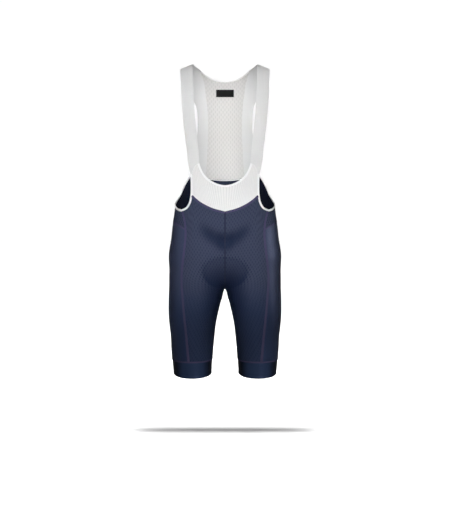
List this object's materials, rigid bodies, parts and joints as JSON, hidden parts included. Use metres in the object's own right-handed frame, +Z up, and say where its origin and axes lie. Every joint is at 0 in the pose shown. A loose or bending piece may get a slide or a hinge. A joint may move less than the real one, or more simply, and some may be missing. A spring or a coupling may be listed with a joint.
{
  "type": "cycling bib shorts",
  "caption": "Hollow cycling bib shorts in worn form: close navy legs with cuffs, white mesh bib and back, wide elastic straps, inner seat pad.",
  "frame": {"origin": "midway between the shoulders, at the height where the straps rest on them", "axes": "+Z up, the garment's front faces -Y, +X towards the wearer's left"},
  "size_m": [0.3286, 0.2156, 0.8976],
  "materials": {
    "navy_dimpled_knit": "matt dimple knit, deep navy",
    "navy_smooth_knit": "smooth knit with a soft sheen, deep navy",
    "navy_gripper_band": "smooth shiny elastic band, dark navy",
    "white_ribbed_mesh": "white mesh with fine ribs",
    "white_open_mesh": "white openwork knit with fine slits",
    "light_grey_elastic": "smooth wide elastic, very light grey",
    "white_binding_tape": "folded elastic tape, white",
    "pad_cloth": "brushed microfibre over foam, near black",
    "woven_label": "plain woven label, near black"
  },
  "bodies": {
    "root": {"front_panel_left": "navy_dimpled_knit", "front_panel_right": "navy_dimpled_knit", "hip_panel_left": "navy_dimpled_knit", "hip_panel_right": "navy_dimpled_knit", "back_panel_left": "navy_dimpled_knit", "back_panel_right": "navy_dimpled_knit", "side_panel_left": "navy_smooth_knit", "side_panel_right": "navy_smooth_knit", "cuff_left": "navy_gripper_band", "cuff_right": "navy_gripper_band", "strap_left": "light_grey_elastic", "strap_right": "light_grey_elastic", "armhole_binding_left": "white_binding_tape", "armhole_binding_right": "white_binding_tape", "front_bib": "white_ribbed_mesh", "back_mesh": "white_open_mesh", "scoop_binding": "white_binding_tape", "neck_binding": "white_binding_tape", "seat_pad": "pad_cloth", "neck_label": "woven_label"}
  },
  "joints": []
}
